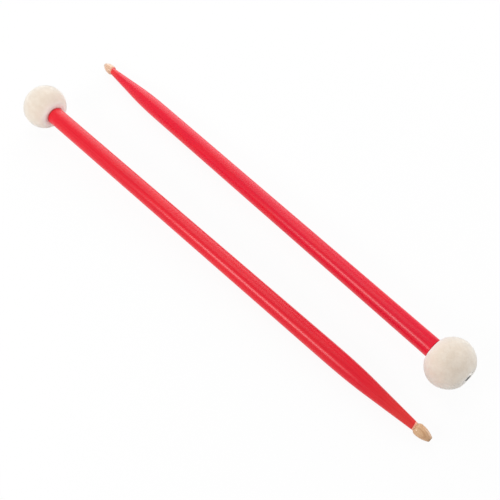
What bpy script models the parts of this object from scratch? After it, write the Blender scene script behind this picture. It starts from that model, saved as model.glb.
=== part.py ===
"""A pair of dual head drumsticks, laid down side by side and head to tail.

Each stick is turned from one length of hickory. It has an acorn tip for the drum at one end. At its
butt a tenon carries a pressed felt ball, which a washer and a wood screw hold on.
"""

import math

import bmesh
import bpy
from mathutils import Matrix
from mathutils import Vector

# Lengths are in metres. Places along a stick are measured from the flat end of its tip.

# Gap between two pieces that touch in the real object
SEAT_GAP = 0.0003

# Acorn tip
TIP_END_RADIUS = 0.00165
TIP_NOSE_LENGTH = 0.0086
TIP_BELLY_RADIUS = 0.00416
TIP_BELLY_LENGTH = 0.0008
TIP_BACK_LENGTH = 0.00225
NECK_RADIUS = 0.00295
NECK_LENGTH = 0.0014

# Taper and shaft
CONE_LENGTH = 0.036
CONE_END_RADIUS = 0.00592
EASING_LENGTH = 0.0414
SHAFT_RADIUS = 0.00711
SHAFT_LENGTH = 0.29065
BUTT_CHAMFER = 0.0005

# Tenon inside the felt ball
TENON_RADIUS = 0.0032
TENON_CHAMFER = 0.0003

# Pressed felt ball
BALL_RADIUS = 0.01793
BALL_HALF_LENGTH = 0.01584
BUTT_FLAT_RADIUS = 0.0096
END_FLAT_RADIUS = 0.0067
REST_FLAT_DEPTH = 0.0004

# Countersunk washer, let into the outer end of the ball
WASHER_RADIUS = 0.0048
WASHER_THICKNESS = 0.0012
WASHER_DEPTH = 0.00015
WASHER_EDGE = 0.0002

# Slotted countersunk wood screw
SCREW_LENGTH = 0.016
SCREW_HEAD_RADIUS = 0.00235
SCREW_HEAD_RIM = 0.0002
SCREW_RADIUS = 0.00125
SCREW_CORE_RADIUS = 0.0009
SCREW_PITCH = 0.0011
SCREW_THREAD_LENGTH = 0.0099
SCREW_POINT_LENGTH = 0.0018
SLOT_WIDTH = 0.0006
SLOT_DEPTH = 0.0005

# How the pair lies: the second stick's tip passes the first stick's ball by the stagger, and lies
# beside it by the spread.
PAIR_STAGGER = 0.0048
PAIR_SPREAD = 0.0767
PAIR_ANGLE = math.radians(175.37)

# Facets
STICK_STEPS = 32
SCREW_STEPS = 16
NOSE_STEPS = 7
BACK_STEPS = 5
EASING_STEPS = 6
BALL_STEPS = 22
ROWS_PER_PITCH = 4
SMOOTH_ANGLE = math.radians(35)

# Places along a stick
belly_end = TIP_NOSE_LENGTH + TIP_BELLY_LENGTH
neck_start = belly_end + TIP_BACK_LENGTH
cone_start = neck_start + NECK_LENGTH
cone_end = cone_start + CONE_LENGTH
shaft_start = cone_end + EASING_LENGTH
butt = shaft_start + SHAFT_LENGTH


def ball_reach(flat_radius):
    """How far from the middle of the ball a flat of this radius lies."""
    return BALL_HALF_LENGTH * math.sqrt(1 - (flat_radius / BALL_RADIUS) ** 2)


ball_start = butt + SEAT_GAP
ball_middle = ball_start + ball_reach(BUTT_FLAT_RADIUS)
ball_end = ball_middle + ball_reach(END_FLAT_RADIUS)
washer_top = ball_end - WASHER_DEPTH
washer_bottom = washer_top - WASHER_THICKNESS
tenon_end = washer_bottom - SEAT_GAP
screw_end = washer_top - SCREW_LENGTH


def finish(name, red, green, blue, roughness, metallic):
    material = bpy.data.materials.new(name)
    material.use_nodes = True
    shader = material.node_tree.nodes["Principled BSDF"]
    shader.inputs["Base Color"].default_value = (red, green, blue, 1)
    shader.inputs["Roughness"].default_value = roughness
    shader.inputs["Metallic"].default_value = metallic
    return material


def turned(outline, steps, closed=False):
    """Spins an outline of (along, radius) points about the stick's axis, which is local X.

    The outline hangs below the axis, so that a row of points lies along the underside.
    """
    solid = bmesh.new()
    points = [solid.verts.new((along, 0, -radius)) for along, radius in outline]
    edges = [solid.edges.new(pair) for pair in zip(points, points[1:])]
    if closed:
        edges.append(solid.edges.new((points[-1], points[0])))
    bmesh.ops.spin(
        solid,
        geom=points + edges,
        cent=(0, 0, 0),
        axis=(1, 0, 0),
        angle=math.tau,
        steps=steps,
        use_merge=True,
    )
    bmesh.ops.remove_doubles(solid, verts=solid.verts, dist=1e-6)
    bmesh.ops.recalc_face_normals(solid, faces=solid.faces)
    return solid


def place(name, solid, axis, materials):
    """Makes the solid an object that hangs on its stick's axis, shaded smooth but for its edges."""
    mesh = bpy.data.meshes.new(name)
    solid.to_mesh(mesh)
    solid.free()
    mesh.shade_smooth()
    mesh.set_sharp_from_angle(angle=SMOOTH_ANGLE)
    for material in materials:
        mesh.materials.append(material)
    piece = bpy.data.objects.new(name, mesh)
    bpy.context.scene.collection.objects.link(piece)
    piece.parent = axis
    return piece


def arc(start, end, radius_at_start, radius_at_end, steps):
    """Points on a circular arc that leaves its larger end level with the axis."""
    run = abs(end - start)
    drop = abs(radius_at_start - radius_at_end)
    bend = (run**2 + drop**2) / (2 * drop)
    widest = max(radius_at_start, radius_at_end)
    level = start if radius_at_start > radius_at_end else end
    for step in range(steps + 1):
        along = start + (end - start) * step / steps
        yield along, widest - bend + math.sqrt(bend**2 - (along - level) ** 2)


def eased(step):
    """A point between the cone and the shaft: it leaves along the cone and arrives along the shaft."""
    share = step / EASING_STEPS
    slope = (CONE_END_RADIUS - NECK_RADIUS) / CONE_LENGTH
    from_cone = 2 * share**3 - 3 * share**2 + 1
    along_cone = share**3 - 2 * share**2 + share
    radius = from_cone * CONE_END_RADIUS + (1 - from_cone) * SHAFT_RADIUS
    return cone_end + EASING_LENGTH * share, radius + along_cone * EASING_LENGTH * slope


def stick_outline():
    """From the middle of the tip's flat end to the bottom of the pilot hole in the tenon."""
    pilot_radius = SCREW_RADIUS + SEAT_GAP
    pilot_end = screw_end - SEAT_GAP
    return [
        (0, 0),
        *arc(0, TIP_NOSE_LENGTH, TIP_END_RADIUS, TIP_BELLY_RADIUS, NOSE_STEPS),
        *arc(belly_end, neck_start, TIP_BELLY_RADIUS, NECK_RADIUS, BACK_STEPS),
        (cone_start, NECK_RADIUS),
        *(eased(step) for step in range(EASING_STEPS + 1)),
        (butt - BUTT_CHAMFER, SHAFT_RADIUS),
        (butt, SHAFT_RADIUS - BUTT_CHAMFER),
        (butt, TENON_RADIUS),
        (tenon_end - TENON_CHAMFER, TENON_RADIUS),
        (tenon_end, TENON_RADIUS - TENON_CHAMFER),
        (tenon_end, pilot_radius),
        (pilot_end, pilot_radius),
        (pilot_end - pilot_radius, 0),
    ]


def rest_tilt():
    """How steeply the stick lies: on its ball's rest flat, and on its point that meets the table first."""
    tilts = []
    for along, radius in stick_outline():
        span = ball_middle - along
        rise = BALL_RADIUS - radius
        tilts.append(math.atan2(rise, span) - math.asin(REST_FLAT_DEPTH / math.hypot(span, rise)))
    return min(tilts)


tilt = rest_tilt()
tip_height = BALL_RADIUS * math.cos(tilt) - REST_FLAT_DEPTH - ball_middle * math.sin(tilt)


def make_stick(name, axis, lacquer, hickory):
    """The turned stick: lacquered from the neck to the butt, with its tip and its tenon left bare."""
    solid = turned(stick_outline(), STICK_STEPS)
    for face in solid.faces:
        along = face.calc_center_median().x
        painted = cone_start < along < butt - BUTT_CHAMFER / 4
        face.material_index = 0 if painted else 1
    return place(name, solid, axis, [lacquer, hickory])


def ball_outline():
    """Over the outside from the butt flat to the end flat, and back through the seat and the bore."""
    low = -math.acos(BUTT_FLAT_RADIUS / BALL_RADIUS)
    high = math.acos(END_FLAT_RADIUS / BALL_RADIUS)
    turns = [low + (high - low) * step / BALL_STEPS for step in range(BALL_STEPS + 1)]
    outside = [(ball_middle + BALL_HALF_LENGTH * math.sin(a), BALL_RADIUS * math.cos(a)) for a in turns]
    bore_radius = TENON_RADIUS + SEAT_GAP
    seat_radius = WASHER_RADIUS + SEAT_GAP
    seat_floor = washer_bottom - SEAT_GAP
    return [
        *outside,
        (ball_end, seat_radius),
        (seat_floor, seat_radius),
        (seat_floor, bore_radius),
        (ball_start, bore_radius),
    ]


def make_ball(name, axis, felt):
    """The felt ball, bored for the tenon, with a small flat where it lies on the table."""
    solid = turned(ball_outline(), STICK_STEPS, closed=True)
    upright = Matrix.Rotation(tilt, 3, "Y") @ Vector((0, 0, 1))
    bmesh.ops.bisect_plane(
        solid,
        geom=[*solid.verts, *solid.edges, *solid.faces],
        dist=1e-7,
        plane_co=-upright * tip_height,
        plane_no=-upright,
        clear_outer=True,
    )
    rim = [edge for edge in solid.edges if edge.is_boundary]
    bmesh.ops.holes_fill(solid, edges=rim, sides=len(rim))
    bmesh.ops.recalc_face_normals(solid, faces=solid.faces)
    return place(name, solid, axis, [felt])


def washer_outline():
    """Round the washer, whose hole is countersunk to the screw's head."""
    mouth_radius = SCREW_HEAD_RADIUS + SEAT_GAP * math.sqrt(2)
    hole_radius = SCREW_RADIUS + SEAT_GAP
    cone_bottom = washer_top - SCREW_HEAD_RIM - (mouth_radius - hole_radius)
    throat = [(cone_bottom, hole_radius), (washer_bottom, hole_radius)]
    if cone_bottom < washer_bottom:
        throat = [(washer_bottom, mouth_radius - (washer_top - SCREW_HEAD_RIM - washer_bottom))]
    return [
        (washer_bottom, WASHER_RADIUS),
        (washer_top - WASHER_EDGE, WASHER_RADIUS),
        (washer_top, WASHER_RADIUS - WASHER_EDGE),
        (washer_top, mouth_radius),
        (washer_top - SCREW_HEAD_RIM, mouth_radius),
        *throat,
    ]


def make_washer(name, axis, plated):
    return place(name, turned(washer_outline(), STICK_STEPS, closed=True), axis, [plated])


def make_screw(name, axis, steel):
    """A countersunk wood screw. Its thread is a ridge that climbs one pitch in each turn."""
    thread_start = screw_end + SCREW_POINT_LENGTH
    thread_end = thread_start + SCREW_THREAD_LENGTH
    rows = round(SCREW_THREAD_LENGTH / SCREW_PITCH * ROWS_PER_PITCH)
    cone_top = washer_top - SCREW_HEAD_RIM
    head_bottom = cone_top - (SCREW_HEAD_RADIUS - SCREW_RADIUS)
    spacing = SCREW_THREAD_LENGTH / rows
    thread = [(thread_start + spacing * row, SCREW_CORE_RADIUS) for row in range(rows + 1)]
    outline = [
        (screw_end, 0),
        *thread,
        (thread_end + SCREW_PITCH / 2, SCREW_RADIUS),
        (head_bottom, SCREW_RADIUS),
        (cone_top, SCREW_HEAD_RADIUS),
        (washer_top, SCREW_HEAD_RADIUS),
        (washer_top, 0),
    ]
    solid = turned(outline, SCREW_STEPS)
    ridge = SCREW_RADIUS - SCREW_CORE_RADIUS
    for vert in solid.verts:
        along = vert.co.x
        if thread_start < along < thread_end:
            turn = math.atan2(vert.co.y, vert.co.z) / math.tau
            wave = 0.5 + 0.5 * math.cos(math.tau * ((along - thread_start) / SCREW_PITCH - turn))
            fade = min(1, (along - thread_start) / SCREW_PITCH, (thread_end - along) / SCREW_PITCH)
            grown = 1 + ridge * wave * fade / SCREW_CORE_RADIUS
            vert.co.y *= grown
            vert.co.z *= grown
    screw = place(name, solid, axis, [steel])
    slot = make_slot(name + "_slot", axis)
    cut = screw.modifiers.new("slot", "BOOLEAN")
    cut.object = slot
    cut.solver = "EXACT"
    return screw


def make_slot(name, axis):
    """The cutter of the screwdriver slot: a bar across the head, open at its top."""
    bar = bmesh.new()
    size = Vector((2 * SLOT_DEPTH, 4 * SCREW_HEAD_RADIUS, SLOT_WIDTH))
    shape = Matrix.Translation((washer_top, 0, 0)) @ Matrix.Diagonal((*size, 1))
    bmesh.ops.create_cube(bar, size=1, matrix=shape)
    slot = place(name, bar, axis, [])
    slot.hide_render = True
    slot.display_type = "WIRE"
    return slot


def stick_axis(name, spot, turn):
    """The empty that a stick's pieces hang on: at its tip's flat end, with X along the stick."""
    axis = bpy.data.objects.new(name, None)
    axis.location = (*spot, tip_height)
    axis.rotation_euler = (0, -tilt, turn)
    bpy.context.scene.collection.objects.link(axis)
    return axis


def centre_pair(pieces, axes):
    """Moves both sticks so that the middle of the floor that they cover is the origin."""
    bpy.context.view_layer.update()
    corners = [piece.matrix_world @ vert.co for piece in pieces for vert in piece.data.vertices]
    for side in (0, 1):
        places = [corner[side] for corner in corners]
        middle = (min(places) + max(places)) / 2
        for axis in axes:
            axis.location[side] -= middle


for old in list(bpy.data.objects):
    bpy.data.objects.remove(old)

red_lacquer = finish("red_lacquer", 0.80, 0.018, 0.034, 0.32, 0)
bare_hickory = finish("bare_hickory", 0.66, 0.42, 0.22, 0.55, 0)
cream_felt = finish("cream_felt", 0.80, 0.73, 0.61, 0.95, 0)
nickel_plate = finish("nickel_plate", 0.72, 0.70, 0.66, 0.30, 1)
dark_steel = finish("dark_steel", 0.06, 0.06, 0.065, 0.40, 1)

second_spot = (ball_end * math.cos(tilt) + PAIR_STAGGER, -PAIR_SPREAD)
made = []
laid = []
for letter, spot, turn in (("a", (0, 0), 0), ("b", second_spot, PAIR_ANGLE)):
    line = stick_axis(f"stick_{letter}", spot, turn)
    laid.append(line)
    made.append(make_stick(f"stick_{letter}_shaft", line, red_lacquer, bare_hickory))
    made.append(make_ball(f"stick_{letter}_felt_ball", line, cream_felt))
    made.append(make_washer(f"stick_{letter}_washer", line, nickel_plate))
    made.append(make_screw(f"stick_{letter}_screw", line, dark_steel))
centre_pair(made, laid)
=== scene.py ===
"""The looks of a pair of dual head drumsticks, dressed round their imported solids.

Lengths are in metres. Places along a stick are measured from the flat end of its tip.
"""

import itertools
import math

import bpy
from mathutils import Matrix
from mathutils import Vector
from mathutils import noise


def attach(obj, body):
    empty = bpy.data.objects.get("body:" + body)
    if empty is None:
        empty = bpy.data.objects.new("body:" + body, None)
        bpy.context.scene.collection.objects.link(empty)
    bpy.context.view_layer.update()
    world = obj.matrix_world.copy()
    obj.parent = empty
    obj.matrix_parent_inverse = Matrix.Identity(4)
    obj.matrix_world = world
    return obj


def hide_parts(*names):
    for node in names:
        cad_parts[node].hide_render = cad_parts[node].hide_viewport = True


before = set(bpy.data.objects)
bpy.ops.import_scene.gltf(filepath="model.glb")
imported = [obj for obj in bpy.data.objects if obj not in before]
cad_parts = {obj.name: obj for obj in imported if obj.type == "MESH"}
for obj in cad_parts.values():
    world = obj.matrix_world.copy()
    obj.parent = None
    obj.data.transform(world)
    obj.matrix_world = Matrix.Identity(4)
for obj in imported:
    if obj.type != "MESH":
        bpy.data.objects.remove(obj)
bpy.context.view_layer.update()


# Hickory stick
# One length of straight-grained hickory, turned to an acorn tip, a long taper and a plain
# shaft. Red lacquer covers it from the neck to the butt. The tip stays bare, and so does
# the tenon inside the ball.

# How a stick lies: its tilt, and for each stick its tip end's X and Y and its turn
TILT = 0.032511439
TIP_HEIGHT = 0.004687976
LAID = {
    "a": (-0.207072154, 0.031137636, 0.0),
    "b": (0.2069823, -0.045562364, 3.060783863),
}

# Acorn tip and neck
TIP_END_RADIUS = 0.00165
TIP_END_ROUNDING = 0.00028
TIP_END_RINGS = (0.0006, 0.0011)
NOSE_LENGTH = 0.0086
BELLY_RADIUS = 0.00416
BELLY_END = 0.0094
NECK_START = 0.01165
NECK_RADIUS = 0.00295
CREASE_DEPTH = {"a": 0.0008, "b": 0.0003}
CREASE_FRONT = (0.01125, 0.0117)
CREASE_BACK = (0.01175, 0.0120)
HANDLED_NOSE = (0.001, 0.0075)
WORN_NOSE = (0.0, 0.0012)

# Taper, shaft, butt and tenon
CONE_START = 0.01305
CONE_END = 0.04905
CONE_END_RADIUS = 0.00592
SHAFT_START = 0.09045
SHAFT_RADIUS = 0.00711
BUTT = 0.3811
BUTT_CHAMFER = 0.0005
BUTT_ROUNDING = 0.00014
# How far before the chamfer the butt's lacquer is darkened as painted shade
BUTT_SHADE_REACH = 0.0002
BUTT_FEATHER = 0.00001
UNDERCUT_RADIUS = 0.0062
UNDERCUT_DEPTH = 0.0003
TENON_FOOT = 0.0002
TENON_RADIUS = 0.0032
TENON_CHAMFER = 0.0003
TENON_END = 0.40782083
PILOT_RADIUS = 0.00155
PILOT_END = 0.39302083

# Edge of the lacquer at the neck
PAINT_START = {"a": 0.01325, "b": 0.0119}
PAINT_SLANT = {"a": 0.0004, "b": 0.0008}
PAINT_THICKNESS = 0.00006
PAINT_LIP = 0.00012
PAINT_LIP_AHEAD = 0.00004
PAINT_FEATHER = 0.0001
PAINT_WAVES = ((0.00006, 2, 0.6), (0.000036, 5, 1.9), (0.000024, 11, 0.0))
SLANT_REACH = 0.0162
SLANT_LEVEL = 0.0002
STAIN_REACH = 0.0013
STAIN_FULL = 0.0005
POOL_REACH = 0.0006
THIN_END = {"a": 0.06, "b": 0.03}

LACQUER = {
    "a": {
        "deep": (0.712, 0.004, 0.020),
        "light": (0.792, 0.007, 0.023),
        # Stick a's thin red is darker than stick b's: painted shade for the weaker light at
        # that tip's end
        "thin": (0.745, 0.042, 0.032),
        "shine": 0.275,
    },
    "b": {
        "deep": (0.722, 0.004, 0.029),
        "light": (0.802, 0.007, 0.032),
        "thin": (0.795, 0.042, 0.033),
        "shine": 0.25,
    },
}
WARM_RED = (0.792, 0.014, 0.020)
GRAIN_RED = (0.64, 0.002, 0.019)
# Dark red where the lacquer pools at its edge by the neck; on the butt's chamfer it is
# painted shade of the gap to the ball
POOLED_RED_AND_SHADE = (0.40, 0.002, 0.010)

HICKORY = {
    "a": {
        "dull": (0.63, 0.365, 0.185),
        "fresh": (0.73, 0.445, 0.24),
        "streak": (0.80, 0.54, 0.33),
        "ring": (0.50, 0.25, 0.115),
        "end": (0.48, 0.27, 0.14),
        "figure": 0.55,
        "crease": 0.6,
    },
    "b": {
        "dull": (0.71, 0.435, 0.28),
        "fresh": (0.76, 0.49, 0.33),
        "streak": (0.80, 0.545, 0.39),
        "ring": (0.62, 0.35, 0.20),
        "end": (0.62, 0.47, 0.39),
        "figure": 0.3,
        "crease": 0.1,
    },
}
PORE_BROWN = (0.27, 0.135, 0.06)
STAIN_RED = (0.98, 0.33, 0.24)
# Painted shade: the brown that darkens the crease behind the acorn; "crease" in HICKORY
# sets how strongly
CREASE_SHADE_BROWN = (0.20, 0.12, 0.05)
WORN_BROWN = (0.32, 0.22, 0.14)
RING_SPACING = 0.00135
RING_LEAN = (0.8, 0.6)
RING_SWAY = 0.0021
BILLET_SHIFT = (3.7, 5.1, 2.3)

STICK_STEPS = 96
NOSE_ROWS = 26
BACK_ROWS = 14
NECK_ROWS = 17
NECK_ROW = 0.0001
NECK_CONE_ROWS = 7
NECK_CONE_ROW = 0.0004
CONE_ROWS = 10
EASING_ROWS = 14
SHAFT_ROWS = 40
SMALLEST_ROW = 0.000001


class Wire:
    """An output of a shader node. Sums written on it add Math nodes."""

    def __init__(self, tree, socket=None):
        self.tree = tree
        self.socket = socket

    def node(self, kind, settings, sockets, output=0):
        """Adds a node: first its settings, then the values or wires of its sockets."""
        made = self.tree.nodes.new("ShaderNode" + kind)
        for name, value in settings.items():
            setattr(made, name, value)
        for name, value in sockets.items():
            if isinstance(value, Wire):
                self.tree.links.new(value.socket, made.inputs[name])
            else:
                made.inputs[name].default_value = value
        return Wire(self.tree, made.outputs[output] if made.outputs else None)

    def maths(self, operation, *values):
        return self.node("Math", {"operation": operation}, dict(enumerate(values)))

    def sine(self):
        return self.maths("SINE", self)

    def part(self, axis):
        """One of the three numbers of a place."""
        return self.node("SeparateXYZ", {}, {0: self}, axis)

    def __add__(self, other):
        return self.maths("ADD", self, other)

    __radd__ = __add__

    def __sub__(self, other):
        return self.maths("SUBTRACT", self, other)

    def __rsub__(self, other):
        return self.maths("SUBTRACT", other, self)

    def __mul__(self, other):
        return self.maths("MULTIPLY", self, other)

    __rmul__ = __mul__

    def __pow__(self, other):
        return self.maths("POWER", self, other)

    def mix(self, start, end):
        """A colour that goes from start to end as this mask goes from 0 to 1."""
        colours = {6: colour_of(start), 7: colour_of(end)}
        settings = {"data_type": "RGBA", "clamp_factor": True}
        return self.node("Mix", settings, {0: self, **colours}, 2)

    def between(self, low, high):
        """0 below low, 1 above high, and smooth between them."""
        settings = {"interpolation_type": "SMOOTHSTEP"}
        return self.node("MapRange", settings, {0: self, 1: low, 2: high, 3: 0.0, 4: 1.0})


def colour_of(value):
    """A wire as it is, or a plain colour made opaque."""
    return value if isinstance(value, Wire) else (*value, 1)


def new_finish(name):
    """An empty material, and the wire of a point's place, whose X runs along its stick."""
    material = bpy.data.materials.new(name)
    material.use_nodes = True
    material.node_tree.nodes.clear()
    kept = {"attribute_name": "place"}
    return material, Wire(material.node_tree).node("Attribute", kept, {}, "Vector")


def close_finish(shader):
    """Leads a shader to the surface of its material."""
    shader.node("OutputMaterial", {}, {"Surface": shader})


def stretched(place, billet, along, across):
    """The place scaled along and across the stick, and moved so that the billets differ."""
    scaled = {0: place, 1: (along, across, across)}
    drawn = place.node("VectorMath", {"operation": "MULTIPLY"}, scaled)
    moved = {0: drawn, 1: [step * billet for step in BILLET_SHIFT]}
    return place.node("VectorMath", {"operation": "ADD"}, moved)


def cloud(vector, scale=1.0, detail=3.0, roughness=0.5, distortion=0.0):
    """Soft noise from 0 to 1, which has scale patches to a unit of the vector."""
    sockets = {
        "Vector": vector,
        "Scale": scale,
        "Detail": detail,
        "Roughness": roughness,
        "Distortion": distortion,
    }
    return vector.node("TexNoise", {}, sockets)


def hickory_grain(place, billet):
    """(ring shade, pore mask) of hickory with its grain along the stick."""
    sway = cloud(stretched(place, billet, along=11, across=70), detail=2.0)
    across = place.part("Y") * RING_LEAN[0] + place.part("Z") * RING_LEAN[1]
    board = across + sway * RING_SWAY
    shade = (board * (math.tau / RING_SPACING)).sine() * 0.5 + 0.5
    dashed = stretched(place, billet, along=150, across=3600)
    dashes = cloud(dashed, detail=2.0, roughness=0.6)
    pores = dashes.between(0.60, 0.74) * (1 - shade.between(0.3, 0.85) * 0.8)
    return shade, pores


def past_paint_edge(place, letter):
    """How far a point lies past the slanting edge of the paint."""
    slant = place.part("Y") * (PAINT_SLANT[letter] / NECK_RADIUS)
    return place.part("X") + slant - PAINT_START[letter]


def hickory_finish(name, letter, billet):
    """Bare hickory under thin clear lacquer: rings, short pores, a red-stained neck and
    painted shade in the crease.
    """
    material, place = new_finish(name)
    along = place.part("X")
    wood = HICKORY[letter]
    shade, pores = hickory_grain(place, billet)
    blotch = cloud(place, 210.0, detail=4.0, roughness=0.6)
    streaks = cloud(stretched(place, billet, along=60, across=1500), roughness=0.6)
    pale = blotch.mix(wood["dull"], wood["fresh"])
    streaked = (streaks.between(0.48, 0.75) * wood["figure"]).mix(pale, wood["streak"])
    ringed = (shade.between(0.3, 1.0) * wood["figure"]).mix(streaked, wood["ring"])
    grained = (pores * wood["figure"]).mix(ringed, PORE_BROWN)
    handled = (1 - along.between(*HANDLED_NOSE)) * 0.45
    aged = handled.mix(grained, wood["end"])
    uneven = 0.6 + blotch * 0.5 - place.part("Y") * 70
    seeped = past_paint_edge(place, letter).between(-STAIN_REACH, -STAIN_FULL) * uneven
    stained = seeped.mix(aged, STAIN_RED)
    # Painted shade: the crease behind the acorn is darkened towards a shadow brown
    crease = along.between(*CREASE_FRONT) * (1 - along.between(*CREASE_BACK))
    crease_shaded = (crease * wood["crease"]).mix(stained, CREASE_SHADE_BROWN)
    worn_end = (1 - along.between(*WORN_NOSE)) * 0.5
    colour = worn_end.mix(crease_shaded, WORN_BROWN)
    height = shade * 0.25 - pores * 0.8
    relief = {"Strength": 0.2, "Distance": 0.00005, "Height": height}
    close_finish(
        place.node(
            "BsdfPrincipled",
            {},
            {
                "Base Color": colour,
                "Roughness": 0.45 + pores * 0.25,
                "Normal": place.node("Bump", {}, relief),
                "Specular IOR Level": 0.3,
                "Coat Weight": 0.65 - worn_end * 1.2,
                "Coat Roughness": 0.17,
            },
        )
    )
    return material


def lacquer_finish(name, letter, billet):
    """Red lacquer, through which the hickory's grain shows as faint lengthwise streaks."""
    material, place = new_finish(name)
    along = place.part("X")
    shade, pores = hickory_grain(place, billet)
    streaks = cloud(stretched(place, billet, along=16, across=620), roughness=0.55)
    patches = cloud(stretched(place, billet, along=34, across=110), roughness=0.6)
    red = LACQUER[letter]
    body = streaks.between(0.25, 0.75).mix(red["deep"], red["light"])
    warm = (patches.between(0.45, 0.8) * 0.6).mix(body, WARM_RED)
    grained = (shade.between(0.5, 1.0) * 0.16 + pores * 0.08).mix(warm, GRAIN_RED)
    tapering = 1 - along.between(PAINT_START[letter], THIN_END[letter])
    thinned = (tapering * (0.25 + streaks * 0.9)).mix(grained, red["thin"])
    # Darker red where the lacquer pools past its edge at the neck, and painted shade over
    # the butt's chamfer where it meets the ball
    pooled = 1 - past_paint_edge(place, letter).between(0.0, POOL_REACH)
    edges = pooled * 0.6 + along.between(BUTT - BUTT_CHAMFER - BUTT_SHADE_REACH, BUTT) * 0.7
    colour = edges.mix(thinned, POOLED_RED_AND_SHADE)
    height = streaks * 0.8 + shade * 0.2
    relief = {"Strength": 0.03, "Distance": 0.00005, "Height": height}
    close_finish(
        place.node(
            "BsdfPrincipled",
            {},
            {
                "Base Color": colour,
                "Roughness": 0.25 + streaks * 0.05,
                "Normal": place.node("Bump", {}, relief),
                "IOR": 1.5,
                "Specular IOR Level": red["shine"],
            },
        )
    )
    return material


def bowed(away, run, end_radius, widest):
    """The radius at a distance from the widest point of an arc that ends after run."""
    drop = widest - end_radius
    bend = (run**2 + drop**2) / (2 * drop)
    return widest - bend + math.sqrt(bend**2 - away**2)


def rounded(corner, before, after, size, steps=4):
    """Points that round off a corner, from size before it to size after it."""
    corner, before, after = Vector(corner), Vector(before), Vector(after)
    start = corner + (before - corner).normalized() * size
    end = corner + (after - corner).normalized() * size
    for step in range(steps + 1):
        share = step / steps
        yield tuple(start.lerp(corner, share).lerp(corner.lerp(end, share), share))


def eased(share):
    """A point of the easing, which leaves along the cone and arrives along the shaft."""
    slope = (CONE_END_RADIUS - NECK_RADIUS) / (CONE_END - CONE_START)
    length = SHAFT_START - CONE_END
    from_cone = 2 * share**3 - 3 * share**2 + 1
    along_cone = share**3 - 2 * share**2 + share
    radius = from_cone * CONE_END_RADIUS + (1 - from_cone) * SHAFT_RADIUS
    return CONE_END + length * share, radius + along_cone * length * slope


def straight(start, start_radius, end, end_radius, steps):
    """Points on a straight line of the outline, without its two ends."""
    for step in range(1, steps):
        share = step / steps
        radius = start_radius + (end_radius - start_radius) * share
        yield start + (end - start) * share, radius


def neck_radius(letter, along):
    """The wood behind the acorn's belly: its back, a crease, the neck and the cone."""
    if along < NECK_START:
        return bowed(along - BELLY_END, NECK_START - BELLY_END, NECK_RADIUS, BELLY_RADIUS)
    share = min(1.0, (along - NECK_START) / (CONE_START - NECK_START))
    crease = CREASE_DEPTH[letter] * share * (1 - share) ** 4
    slope = (CONE_END_RADIUS - PAINT_THICKNESS - NECK_RADIUS) / (CONE_END - CONE_START)
    return NECK_RADIUS - crease + slope * max(0.0, along - CONE_START)


def paint_cover(letter, along):
    """The thickness of the paint, which starts as a small step."""
    share = (along - PAINT_START[letter] + PAINT_LIP_AHEAD) / PAINT_LIP
    return PAINT_THICKNESS * min(1.0, max(0.0, share))


def neck_run(letter):
    """Points from the acorn's belly to the cone, closest at the crease and the paint."""
    lip = PAINT_START[letter] - PAINT_LIP_AHEAD
    length = NECK_START - BELLY_END
    neck_end = NECK_START + NECK_ROW * NECK_ROWS
    rows = [BELLY_END + length * step / BACK_ROWS for step in range(BACK_ROWS + 1)]
    rows += [NECK_START + NECK_ROW * step for step in range(1, NECK_ROWS + 1)]
    rows += [neck_end + NECK_CONE_ROW * step for step in range(1, NECK_CONE_ROWS + 1)]
    rows += [lip, PAINT_START[letter], lip + PAINT_LIP]
    rows.sort()
    for along, after in zip(rows, (*rows[1:], CONE_END)):
        if after - along > SMALLEST_ROW:
            yield along, neck_radius(letter, along) + paint_cover(letter, along)


def stick_outline(letter):
    """From the middle of the tip's flat end to the bottom of the tenon's pilot hole."""
    nose = []
    for step in range(NOSE_ROWS + 1):
        along = NOSE_LENGTH * step / NOSE_ROWS
        radius = bowed(NOSE_LENGTH - along, NOSE_LENGTH, TIP_END_RADIUS, BELLY_RADIUS)
        nose.append((along, radius))
    shoulder = (BUTT - BUTT_CHAMFER, SHAFT_RADIUS)
    bevel = (BUTT, SHAFT_RADIUS - BUTT_CHAMFER)
    neck = list(neck_run(letter))
    return [
        (0, 0),
        *((0, ring) for ring in TIP_END_RINGS),
        *rounded((0, TIP_END_RADIUS), (0, 0), nose[2], TIP_END_ROUNDING),
        *nose[1:],
        *neck,
        *straight(*neck[-1], CONE_END, CONE_END_RADIUS, CONE_ROWS),
        *(eased(step / EASING_ROWS) for step in range(EASING_ROWS + 1)),
        *straight(SHAFT_START, SHAFT_RADIUS, *shoulder, SHAFT_ROWS),
        *rounded(shoulder, (SHAFT_START, SHAFT_RADIUS), bevel, BUTT_ROUNDING),
        *rounded(bevel, shoulder, (BUTT, 0), BUTT_ROUNDING),
        (BUTT, UNDERCUT_RADIUS),
        (BUTT - UNDERCUT_DEPTH, UNDERCUT_RADIUS - UNDERCUT_DEPTH),
        (BUTT - UNDERCUT_DEPTH, TENON_RADIUS),
        (BUTT + TENON_FOOT, TENON_RADIUS),
        (TENON_END - TENON_CHAMFER, TENON_RADIUS),
        (TENON_END, TENON_RADIUS - TENON_CHAMFER),
        (TENON_END, PILOT_RADIUS),
        (PILOT_END, PILOT_RADIUS),
        (PILOT_END - PILOT_RADIUS, 0),
    ]


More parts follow.
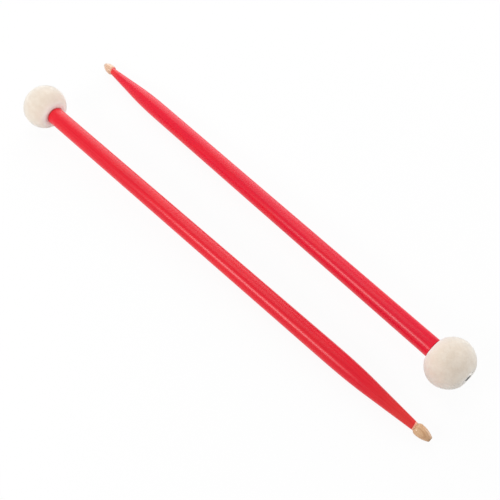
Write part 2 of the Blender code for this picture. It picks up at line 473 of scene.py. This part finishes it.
def turned(name, outline, steps, closed=False, shaped=None):
    """A mesh spun about X from an outline of (along, radius) points, facing outwards.

    shaped(spot, turn) gives the place that a spun point moves to.
    """
    points, rings = [], []
    for along, radius in outline:
        if radius == 0:
            rings.append([len(points)] * steps)
            points.append(Vector((along, 0, 0)))
            continue
        rings.append(range(len(points), len(points) + steps))
        for step in range(steps):
            turn = math.tau * step / steps
            spot = Vector((along, radius * math.sin(turn), -radius * math.cos(turn)))
            points.append(shaped(spot, turn) if shaped else spot)
    pairs = list(zip(rings, rings[1:]))
    if closed:
        pairs.append((rings[-1], rings[0]))
    faces = []
    for first, second in pairs:
        for step in range(steps):
            after = (step + 1) % steps
            loop = (first[step], second[step], second[after], first[after])
            faces.append(tuple(dict.fromkeys(loop)))
    mesh = bpy.data.meshes.new(name)
    mesh.from_pydata(points, [], faces)
    mesh.validate()
    mesh.shade_smooth()
    return mesh


def lay(name, mesh, letter, materials, sharp_degrees=35):
    """Sets a piece made along X on its stick's axis. Each point keeps its place there."""
    mesh.set_sharp_from_angle(angle=math.radians(sharp_degrees))
    for material in materials:
        mesh.materials.append(material)
    places = mesh.attributes.new("place", "FLOAT_VECTOR", "POINT")
    for point, kept in zip(mesh.vertices, places.data):
        kept.vector = point.co
    x, y, turn = LAID[letter]
    spot = Matrix.Translation((x, y, TIP_HEIGHT))
    mesh.transform(spot @ Matrix.Rotation(turn, 4, "Z") @ Matrix.Rotation(-TILT, 4, "Y"))
    piece = bpy.data.objects.new(name, mesh)
    bpy.context.scene.collection.objects.link(piece)
    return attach(piece, f"stick_{letter}")


def smooth(share):
    """0 up to 0, 1 from 1 on, and smooth between them."""
    share = min(1.0, max(0.0, share))
    return share * share * (3 - 2 * share)


def dipped_edge(letter):
    """Slants the paint's edge round the neck and lets it wander, as a dip leaves it."""
    edge = PAINT_START[letter]

    def shaped(spot, turn):
        if not BELLY_END < spot.x < SLANT_REACH:
            return spot
        rise = smooth((spot.x - BELLY_END) / (edge - SLANT_LEVEL - BELLY_END))
        fall = smooth((SLANT_REACH - spot.x) / (SLANT_REACH - SLANT_LEVEL - edge))
        slide = -PAINT_SLANT[letter] * math.sin(turn)
        for size, count, start in PAINT_WAVES:
            slide += size * math.sin(count * turn + start)
        along = spot.x + slide * rise * fall
        radius = neck_radius(letter, along) + paint_cover(letter, spot.x)
        return Vector((along, radius * math.sin(turn), -radius * math.cos(turn)))

    return shaped


for billet, letter in enumerate("ab", 1):
    name = f"stick_{letter}_hickory"
    outline = stick_outline(letter)
    stick = turned(name, outline, STICK_STEPS, shaped=dipped_edge(letter))
    finishes = [
        lacquer_finish(f"red_lacquer_{letter}", letter, billet),
        hickory_finish(f"bare_hickory_{letter}", letter, billet),
    ]
    for face in stick.polygons:
        row = face.index // STICK_STEPS
        middle = (outline[row][0] + outline[row + 1][0]) / 2
        ahead = middle < PAINT_START[letter] - PAINT_FEATHER
        face.material_index = 1 if ahead or middle > BUTT - BUTT_FEATHER else 0
    piece = lay(name, stick, letter, finishes)
    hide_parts(f"stick_{letter}_shaft")


# Felt ball
# A solid ball of pressed cream wool felt, bored for the tenon and a little flat at both
# ends. It is sanded to shape, so its skin is soft, slightly lumpy and mottled. The screw
# draws it down on the butt, whose red lacquer has rubbed off on it a little. Round the
# butt its colour also holds painted light and shade: a pink tint that is partly painted
# red reflection from the lacquer, a thin dark red ring of painted shade where the butt
# meets it, and a paler ring of painted light over the shade the stick casts.

BALL_MIDDLE = 0.394778287
BALL_START = 0.3814
BALL_END = 0.4091
BALL_RADIUS = 0.01793
BALL_HALF_LENGTH = 0.01584
BALL_ROWS = 120
FIRST_BALL_ROW = 4
LAST_BALL_ROW = 117
FELT_STEPS = 220

# The flat at the butt, with the dent that the butt presses into it
BUTT_FLAT_RADIUS = 0.0096
BUTT_FLAT_ROUNDING = 0.0012
BUTT_LIP_RADIUS = 0.0077
BUTT_LIP_RING = 0.0081
BUTT_PRESS = 0.0002
DENT_RADIUS = 0.0072
DENT_FLOOR_RADIUS = 0.0064
DENT_ROUNDING = 0.0002

# The flat at the far end, with the washer's seat, and the bore for the tenon
END_FLAT_ROUNDING = 0.0006
SEAT_RADIUS = 0.0051
SEAT_FLOOR = 0.40782083
SEAT_FLARE = 0.0003
SEAT_FLARE_DEPTH = 0.0002
SEAT_LIP_RADIUS = 0.0055
BORE_RADIUS = 0.0035
BORE_FLARE = 0.0003

# Lumps and nap of the skin, as (width in millimetres, height)
FELT_LUMPS = ((9.0, 0.00016), (3.1, 0.00007), (1.0, 0.00004), (0.45, 0.00003))
FELT_SINK = 0.0001
LUMP_FADE = 0.002
TABLE_GAP = 0.00002

FELT = {
    "dull": (0.83, 0.695, 0.56),
    "fresh": (0.885, 0.765, 0.64),
    "fleck": (0.74, 0.59, 0.465),
    "hair": (0.925, 0.84, 0.74),
    # Painted light: a paler felt colour that lifts the shade round the butt
    "painted_light": (0.94, 0.885, 0.84),
    # Partly lacquer rubbed off, partly painted red reflection from the lacquer
    "blush_and_reflection": (0.98, 0.60, 0.54),
    # Painted shade: the dark red of the contact line where the butt meets the felt
    "pressed": (0.60, 0.05, 0.06),
    "bloom": (0.81, 0.89, 0.92),
}
BUTT_SIDE = (BALL_START + 0.0010, BALL_START + 0.0050)
PAINTED_LIGHT_RADIUS = (0.0085, 0.0140)
BLUSH_AND_REFLECTION_RADIUS = (0.0075, 0.0088)
CONTACT_SHADE_RADIUS = (0.0071, 0.0075)
HAIR_ALONG = 520
HAIR_ACROSS = 4600
HAIR_CURL = 0.003


def felt_hairs(place):
    """Curly hairs that lie every way: noise drawn out along each direction in turn."""
    whirl = {"Vector": place, "Scale": 420.0, "Detail": 2.0}
    curl = {0: place.node("TexNoise", {}, whirl, "Color"), 1: [HAIR_CURL] * 3, 2: place}
    bent = place.node("VectorMath", {"operation": "MULTIPLY_ADD"}, curl)
    laid = []
    for way in range(3):
        drawn = [HAIR_ALONG if axis == way else HAIR_ACROSS for axis in range(3)]
        lengths = place.node("VectorMath", {"operation": "MULTIPLY"}, {0: bent, 1: drawn})
        laid.append(cloud(lengths, detail=2.0, roughness=0.6).between(0.54, 0.70))
    return laid[0] + laid[1] + laid[2]


def felt_finish(name):
    """Cream wool felt: matt, with a soft bloom at its edges and a fine tangle of fibres."""
    material, place = new_finish(name)
    along, y, z = place.part("X"), place.part("Y"), place.part("Z")
    radius = (y * y + z * z) ** 0.5
    mottle = cloud(place, 210.0, roughness=0.55)
    tangle = cloud(place, 1300.0, detail=4.0, roughness=0.7, distortion=1.2)
    hairs = felt_hairs(place)
    cream = mottle.between(0.3, 0.7).mix(FELT["dull"], FELT["fresh"])
    flecked = (tangle.between(0.50, 0.80) * 0.4).mix(cream, FELT["fleck"])
    haired = (hairs * 0.3).mix(flecked, FELT["hair"])
    at_butt = 1 - along.between(*BUTT_SIDE)
    # Painted light: the felt round the butt is made paler to lift the shade that the stick
    # casts there
    painted_light = (1 - radius.between(*PAINTED_LIGHT_RADIUS)) * at_butt
    lightened = (painted_light * 0.8).mix(haired, FELT["painted_light"])
    # A pink tint next to the butt: partly lacquer rubbed off, partly painted red reflection
    # thrown by the lacquer
    rubbed = (1 - radius.between(*BLUSH_AND_REFLECTION_RADIUS)) * at_butt
    blushed_and_reflected = (rubbed * 0.55).mix(lightened, FELT["blush_and_reflection"])
    # Painted shade: a thin dark red ring, tinted like the lacquer, where the butt's edge
    # meets the felt
    pressed = (1 - radius.between(*CONTACT_SHADE_RADIUS)) * at_butt
    colour = (pressed * (0.6 + mottle * 0.4)).mix(blushed_and_reflected, FELT["pressed"])
    height = hairs * 0.35 + tangle * 0.9 + mottle * 0.9
    relief = {"Strength": 0.6, "Distance": 0.00022, "Height": height}
    close_finish(
        place.node(
            "BsdfPrincipled",
            {},
            {
                "Base Color": colour,
                "Roughness": 0.95,
                "Specular IOR Level": 0.1,
                "Normal": place.node("Bump", {}, relief),
                "Sheen Weight": 0.9,
                "Sheen Roughness": 0.6,
                "Sheen Tint": (*FELT["bloom"], 1),
            },
        )
    )
    return material


def ball_outline():
    """Over the outside from the dent to the end flat, and back through seat and bore."""
    low = -math.acos(BUTT_FLAT_RADIUS / BALL_RADIUS)
    high = math.asin((BALL_END - BALL_MIDDLE) / BALL_HALF_LENGTH)
    outside = []
    for row in range(FIRST_BALL_ROW, LAST_BALL_ROW + 1):
        turn = low + (high - low) * row / BALL_ROWS
        along = BALL_MIDDLE + BALL_HALF_LENGTH * math.sin(turn)
        outside.append((along, BALL_RADIUS * math.cos(turn)))
    far_radius = BALL_RADIUS * math.cos(high)
    dent = BALL_START - BUTT_PRESS
    dent_floor, dent_rim = (dent, DENT_FLOOR_RADIUS), (BALL_START, DENT_RADIUS)
    butt_edge = (BALL_START, BUTT_FLAT_RADIUS)
    bore_mouth = BORE_RADIUS + BORE_FLARE
    seat_mouth = SEAT_RADIUS + SEAT_FLARE
    return [
        (dent, bore_mouth),
        *straight(dent, bore_mouth, dent, DENT_FLOOR_RADIUS - DENT_ROUNDING, 8),
        *rounded(dent_floor, (dent, 0), dent_rim, DENT_ROUNDING),
        *rounded(dent_rim, dent_floor, butt_edge, DENT_ROUNDING),
        (BALL_START, BUTT_LIP_RADIUS),
        (BALL_START, BUTT_LIP_RING),
        *rounded(butt_edge, (BALL_START, 0), outside[0], BUTT_FLAT_ROUNDING, 6),
        *outside,
        *rounded((BALL_END, far_radius), outside[-1], (BALL_END, 0), END_FLAT_ROUNDING, 6),
        *straight(BALL_END, far_radius - END_FLAT_ROUNDING, BALL_END, seat_mouth, 5),
        (BALL_END, seat_mouth),
        (BALL_END - SEAT_FLARE_DEPTH, SEAT_RADIUS),
        (SEAT_FLOOR, SEAT_RADIUS),
        (SEAT_FLOOR, BORE_RADIUS),
        *straight(SEAT_FLOOR, BORE_RADIUS, dent + BORE_FLARE, BORE_RADIUS, 20),
        (dent + BORE_FLARE, BORE_RADIUS),
    ]


def felted(seed):
    """Moves a point of the ball's skin as felt lies: lumps, nap, and flat on the table."""
    up = Matrix.Rotation(TILT, 3, "Y") @ Vector((0, 0, 1))
    middle = Vector((BALL_MIDDLE, 0, 0))

    def shaped(spot, turn):
        hidden = BUTT_LIP_RADIUS if spot.x < BALL_MIDDLE else SEAT_LIP_RADIUS
        free = math.hypot(spot.y, spot.z) - hidden
        if free > 0:
            place = spot * 1000 + Vector((0, 0, seed))
            rise = sum(size * noise.noise(place / width) for width, size in FELT_LUMPS)
            rise = (rise - FELT_SINK) * min(1.0, free / LUMP_FADE)
            spot = spot + (spot - middle).normalized() * rise
        height = spot.dot(up) + TIP_HEIGHT
        return spot + up * max(0.0, TABLE_GAP - height)

    return shaped


felt = felt_finish("cream_felt")
for letter, seed in (("a", 40), ("b", 80)):
    name = f"stick_{letter}_ball"
    ball = turned(name, ball_outline(), FELT_STEPS, closed=True, shaped=felted(seed))
    piece = lay(name, ball, letter, [felt], 60)
    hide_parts(f"stick_{letter}_felt_ball")


# Countersunk washer
# A turned brass washer, nickel plated, let into the end of the ball so that it stands just
# proud of the felt. It spreads the pull of the screw, whose head sits in its countersink.

WASHER_TOP = 0.40932083
WASHER_BOTTOM = 0.40812083
WASHER_RADIUS = 0.0048
MOUTH_RADIUS = 0.002774264
HOLE_RADIUS = 0.001774264
MOUTH_RIM = 0.0002
MOUTH_ROUNDING = 0.00006
SHOULDER_ROUNDING = 0.0004
FOOT_ROUNDING = 0.0001
HOLE_CHAMFER = 0.00008
WASHER_STEPS = 128

TARNISHED_NICKEL = (0.52, 0.50, 0.465)
BRIGHT_NICKEL = (0.68, 0.655, 0.615)
LATHE_FEED = 0.00014


def nickel_finish(name):
    """Nickel plate over turned brass, with fine rings from the lathe and some tarnish."""
    material, place = new_finish(name)
    y, z = place.part("Y"), place.part("Z")
    radius = (y * y + z * z) ** 0.5
    lathe = (radius * (math.tau / LATHE_FEED)).sine()
    haze = cloud(place, 900.0, detail=4.0, roughness=0.6)
    relief = {"Strength": 0.2, "Distance": 0.000008, "Height": lathe}
    close_finish(
        place.node(
            "BsdfPrincipled",
            {},
            {
                "Base Color": haze.mix(TARNISHED_NICKEL, BRIGHT_NICKEL),
                "Metallic": 1.0,
                "Roughness": 0.24 + haze * 0.22,
                "Normal": place.node("Bump", {}, relief),
            },
        )
    )
    return material


def washer_outline():
    """Round the section of the washer, from the bottom of its hole."""
    foot = (WASHER_BOTTOM, WASHER_RADIUS)
    shoulder = (WASHER_TOP, WASHER_RADIUS)
    mouth = (WASHER_TOP, MOUTH_RADIUS)
    throat = (WASHER_TOP - MOUTH_RIM, MOUTH_RADIUS)
    hole = (WASHER_BOTTOM + HOLE_CHAMFER, HOLE_RADIUS)
    face_start = (WASHER_TOP, WASHER_RADIUS - SHOULDER_ROUNDING)
    face_end = (WASHER_TOP, MOUTH_RADIUS + MOUTH_ROUNDING)
    return [
        (WASHER_BOTTOM, HOLE_RADIUS + HOLE_CHAMFER),
        *rounded(foot, (WASHER_BOTTOM, 0), shoulder, FOOT_ROUNDING, 3),
        *rounded(shoulder, foot, mouth, SHOULDER_ROUNDING, 7),
        *straight(*face_start, *face_end, 6),
        *rounded(mouth, shoulder, throat, MOUTH_ROUNDING, 3),
        throat,
        *straight(*throat, *hole, 6),
        hole,
    ]


nickel = nickel_finish("nickel_plate")
for letter in "ab":
    name = f"stick_{letter}_cup_washer"
    washer = turned(name, washer_outline(), WASHER_STEPS, closed=True)
    piece = lay(name, washer, letter, [nickel])
    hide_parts(f"stick_{letter}_washer")


# Wood screw
# A blackened steel screw with a slotted countersunk head and a coarse rolled thread. It
# runs through the washer into the tenon's pilot hole, and draws the ball down on the butt.

SCREW_END = 0.39332083
SCREW_POINT = 0.0018
BLUNT_LENGTH = 0.0002
BLUNT_RADIUS = 0.00012
THREAD_LENGTH = 0.0099
THREAD_PITCH = 0.0011
THREAD_CORE = 0.0009
THREAD_SHARPNESS = 1.6
THREAD_ROWS = 144
SHANK_RADIUS = 0.00125
HEAD_RADIUS = 0.00235
HEAD_RIM = 0.0002
HEAD_ROUNDING = 0.00009
HEAD_CROWN = 0.00008
CROWN_RINGS = (0.8, 0.5, 0.2)
SLOT_WIDTH = 0.0006
SLOT_DEPTH = 0.0005
SLOT_OVERHANG = 0.001
SCREW_STEPS = 64

BLACKENED_STEEL = (0.022, 0.022, 0.024)
RUBBED_STEEL = (0.12, 0.12, 0.125)


def steel_finish(name):
    """Blackened steel, rubbed brighter by a driver and by other screws in the drum."""
    material, place = new_finish(name)
    rubbed = cloud(place, 1700.0, detail=5.0, roughness=0.65)
    worn = rubbed.between(0.45, 0.8)
    relief = {"Strength": 0.3, "Distance": 0.00001, "Height": rubbed}
    close_finish(
        place.node(
            "BsdfPrincipled",
            {},
            {
                "Base Color": worn.mix(BLACKENED_STEEL, RUBBED_STEEL),
                "Metallic": worn * 0.5 + 0.1,
                "Roughness": 0.58 - worn * 0.16,
                "Normal": place.node("Bump", {}, relief),
                "Specular IOR Level": 0.12,
            },
        )
    )
    return material


def screw_outline():
    """From the point, over the thread's core and the head, to the middle of its crown."""
    thread_start = SCREW_END + SCREW_POINT
    thread_end = thread_start + THREAD_LENGTH
    rim = (WASHER_TOP - HEAD_RIM, HEAD_RADIUS)
    head_bottom = (rim[0] - (HEAD_RADIUS - SHANK_RADIUS), SHANK_RADIUS)
    outline = [(SCREW_END, 0), (SCREW_END + BLUNT_LENGTH, BLUNT_RADIUS)]
    for row in range(THREAD_ROWS + 1):
        outline.append((thread_start + THREAD_LENGTH * row / THREAD_ROWS, THREAD_CORE))
    outline += [
        (thread_end + THREAD_PITCH / 2, SHANK_RADIUS),
        head_bottom,
        *straight(*head_bottom, *rim, 5),
        rim,
        *rounded((WASHER_TOP, HEAD_RADIUS), rim, (WASHER_TOP, 0), HEAD_ROUNDING),
    ]
    for share in CROWN_RINGS:
        outline.append((WASHER_TOP + HEAD_CROWN * (1 - share**2), HEAD_RADIUS * share))
    return [*outline, (WASHER_TOP + HEAD_CROWN, 0)]


def threaded(spot, turn):
    """Raises the thread, which fades out at both ends, over the core."""
    travel = spot.x - SCREW_END - SCREW_POINT
    if not 0 <= travel <= THREAD_LENGTH:
        return spot
    fade = min(1.0, travel / THREAD_PITCH, (THREAD_LENGTH - travel) / THREAD_PITCH)
    wave = 0.5 + 0.5 * math.cos(math.tau * travel / THREAD_PITCH - turn)
    grown = 1 + (SHANK_RADIUS / THREAD_CORE - 1) * wave**THREAD_SHARPNESS * fade
    return Vector((spot.x, spot.y * grown, spot.z * grown))


def slotted(name, mesh):
    """The screw's mesh with the driver's slot cut across its head."""
    low, high = WASHER_TOP - SLOT_DEPTH, WASHER_TOP + SLOT_OVERHANG
    reach, half = 2 * HEAD_RADIUS, SLOT_WIDTH / 2
    ends = ((low, high), (-reach, reach), (-half, half))
    sides = [(0, 1, 3, 2), (4, 6, 7, 5), (0, 4, 5, 1)]
    sides += [(2, 3, 7, 6), (0, 2, 6, 4), (1, 5, 7, 3)]
    blade = bpy.data.meshes.new("slot_blade")
    blade.from_pydata(list(itertools.product(*ends)), [], sides)
    cutter = bpy.data.objects.new("slot_blade", blade)
    blank = bpy.data.objects.new(name, mesh)
    for helper in (cutter, blank):
        bpy.context.scene.collection.objects.link(helper)
    cut = blank.modifiers.new("slot", "BOOLEAN")
    cut.object = cutter
    cut.solver = "EXACT"
    graph = bpy.context.evaluated_depsgraph_get()
    made = bpy.data.meshes.new_from_object(blank.evaluated_get(graph), depsgraph=graph)
    for helper in (cutter, blank):
        bpy.data.objects.remove(helper)
    made.shade_smooth()
    return made


steel = steel_finish("dark_steel")
for letter in "ab":
    name = f"stick_{letter}_wood_screw"
    screw = slotted(name, turned(name, screw_outline(), SCREW_STEPS, shaped=threaded))
    piece = lay(name, screw, letter, [steel], 25)
    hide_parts(f"stick_{letter}_screw")


# Studio
# A plain white table and backdrop. Three large soft panels stand beyond the sticks,
# overhead and behind. A small bright one to the side draws a line of light on the lacquer.

TABLE_SIZE = 30.0
TABLE_HEIGHT = -0.00005
TABLE_COLOUR = (0.90, 0.90, 0.90)
TABLE_SHOWN_WHITE = 0.93
WORLD_LEVEL = 0.38


def shown(start):
    """1 for what is seen straight, in something shiny or through glass, otherwise 0."""
    straight_ray = start.node("LightPath", {}, {}, "Is Camera Ray")
    glossy_ray = start.node("LightPath", {}, {}, "Is Glossy Ray")
    glass_ray = start.node("LightPath", {}, {}, "Is Transmission Ray")
    return straight_ray + glossy_ray + glass_ray


table_finish, start = new_finish("white_table")
paper = start.node("BsdfDiffuse", {}, {"Color": (*TABLE_COLOUR, 1)})
white = start.node("Emission", {}, {"Color": (1, 1, 1, 1), "Strength": 1.0})
seen = shown(start) * TABLE_SHOWN_WHITE
close_finish(start.node("MixShader", {}, {0: seen, 1: paper, 2: white}))
reach = TABLE_SIZE / 2
corners = ((-reach, -reach), (reach, -reach), (reach, reach), (-reach, reach))
table_mesh = bpy.data.meshes.new("table")
table_mesh.from_pydata([(x, y, TABLE_HEIGHT) for x, y in corners], [], [(0, 1, 2, 3)])
table_mesh.materials.append(table_finish)
table = bpy.data.objects.new("table", table_mesh)
bpy.context.scene.collection.objects.link(table)

world = bpy.data.worlds.new("studio")
bpy.context.scene.world = world
world.use_nodes = True
world.node_tree.nodes.clear()
sky = Wire(world.node_tree)
level = WORLD_LEVEL + shown(sky) * (1 - WORLD_LEVEL)
backdrop = sky.node("Background", {}, {"Color": (1, 1, 1, 1), "Strength": level})
sky.node("OutputWorld", {}, {"Surface": backdrop})


def panel(name, spot, size, brightness, aim=(0, 0, 0)):
    """A soft panel that faces aim. At a brightness of 1 it looks like lit white paper."""
    lamp = bpy.data.lights.new(name, "AREA")
    lamp.shape = "RECTANGLE"
    lamp.size, lamp.size_y = size
    lamp.energy = brightness * math.pi * size[0] * size[1]
    holder = bpy.data.objects.new(name, lamp)
    holder.location = spot
    holder.rotation_euler = (Vector(aim) - Vector(spot)).to_track_quat("-Z", "Y").to_euler()
    bpy.context.scene.collection.objects.link(holder)


panel("far_panel", (0.58, -0.60, 0.40), (1.0, 0.84), 1.75)
panel("top_panel", (0.36, -0.12, 1.0), (0.7, 0.6), 1.75)
panel("line_panel", (0.20, 0.77, 0.46), (0.46, 0.24), 11.6, aim=(-0.07, 0, 0))
panel("back_panel", (-0.70, -0.70, 0.30), (1.0, 0.5), 3.0)


# Camera
# It looks down on the pair from in front of the first stick's tip, as the photograph does,
# from a little over half a metre away.

LENS = 51.0552
SENSOR = 36
CAMERA_SPOT = (-0.23085909, 0.23081711, 0.43014291)
CAMERA_TURN = (35.39768702, -1.38263969, -135.5959482)

camera_data = bpy.data.cameras.new("camera")
camera_data.lens = LENS
camera_data.sensor_width = SENSOR
camera = bpy.data.objects.new("camera", camera_data)
camera.location = CAMERA_SPOT
camera.rotation_euler = [math.radians(degrees) for degrees in CAMERA_TURN]
bpy.context.scene.collection.objects.link(camera)
bpy.context.scene.camera = camera
bpy.context.scene.view_settings.view_transform = "Standard"
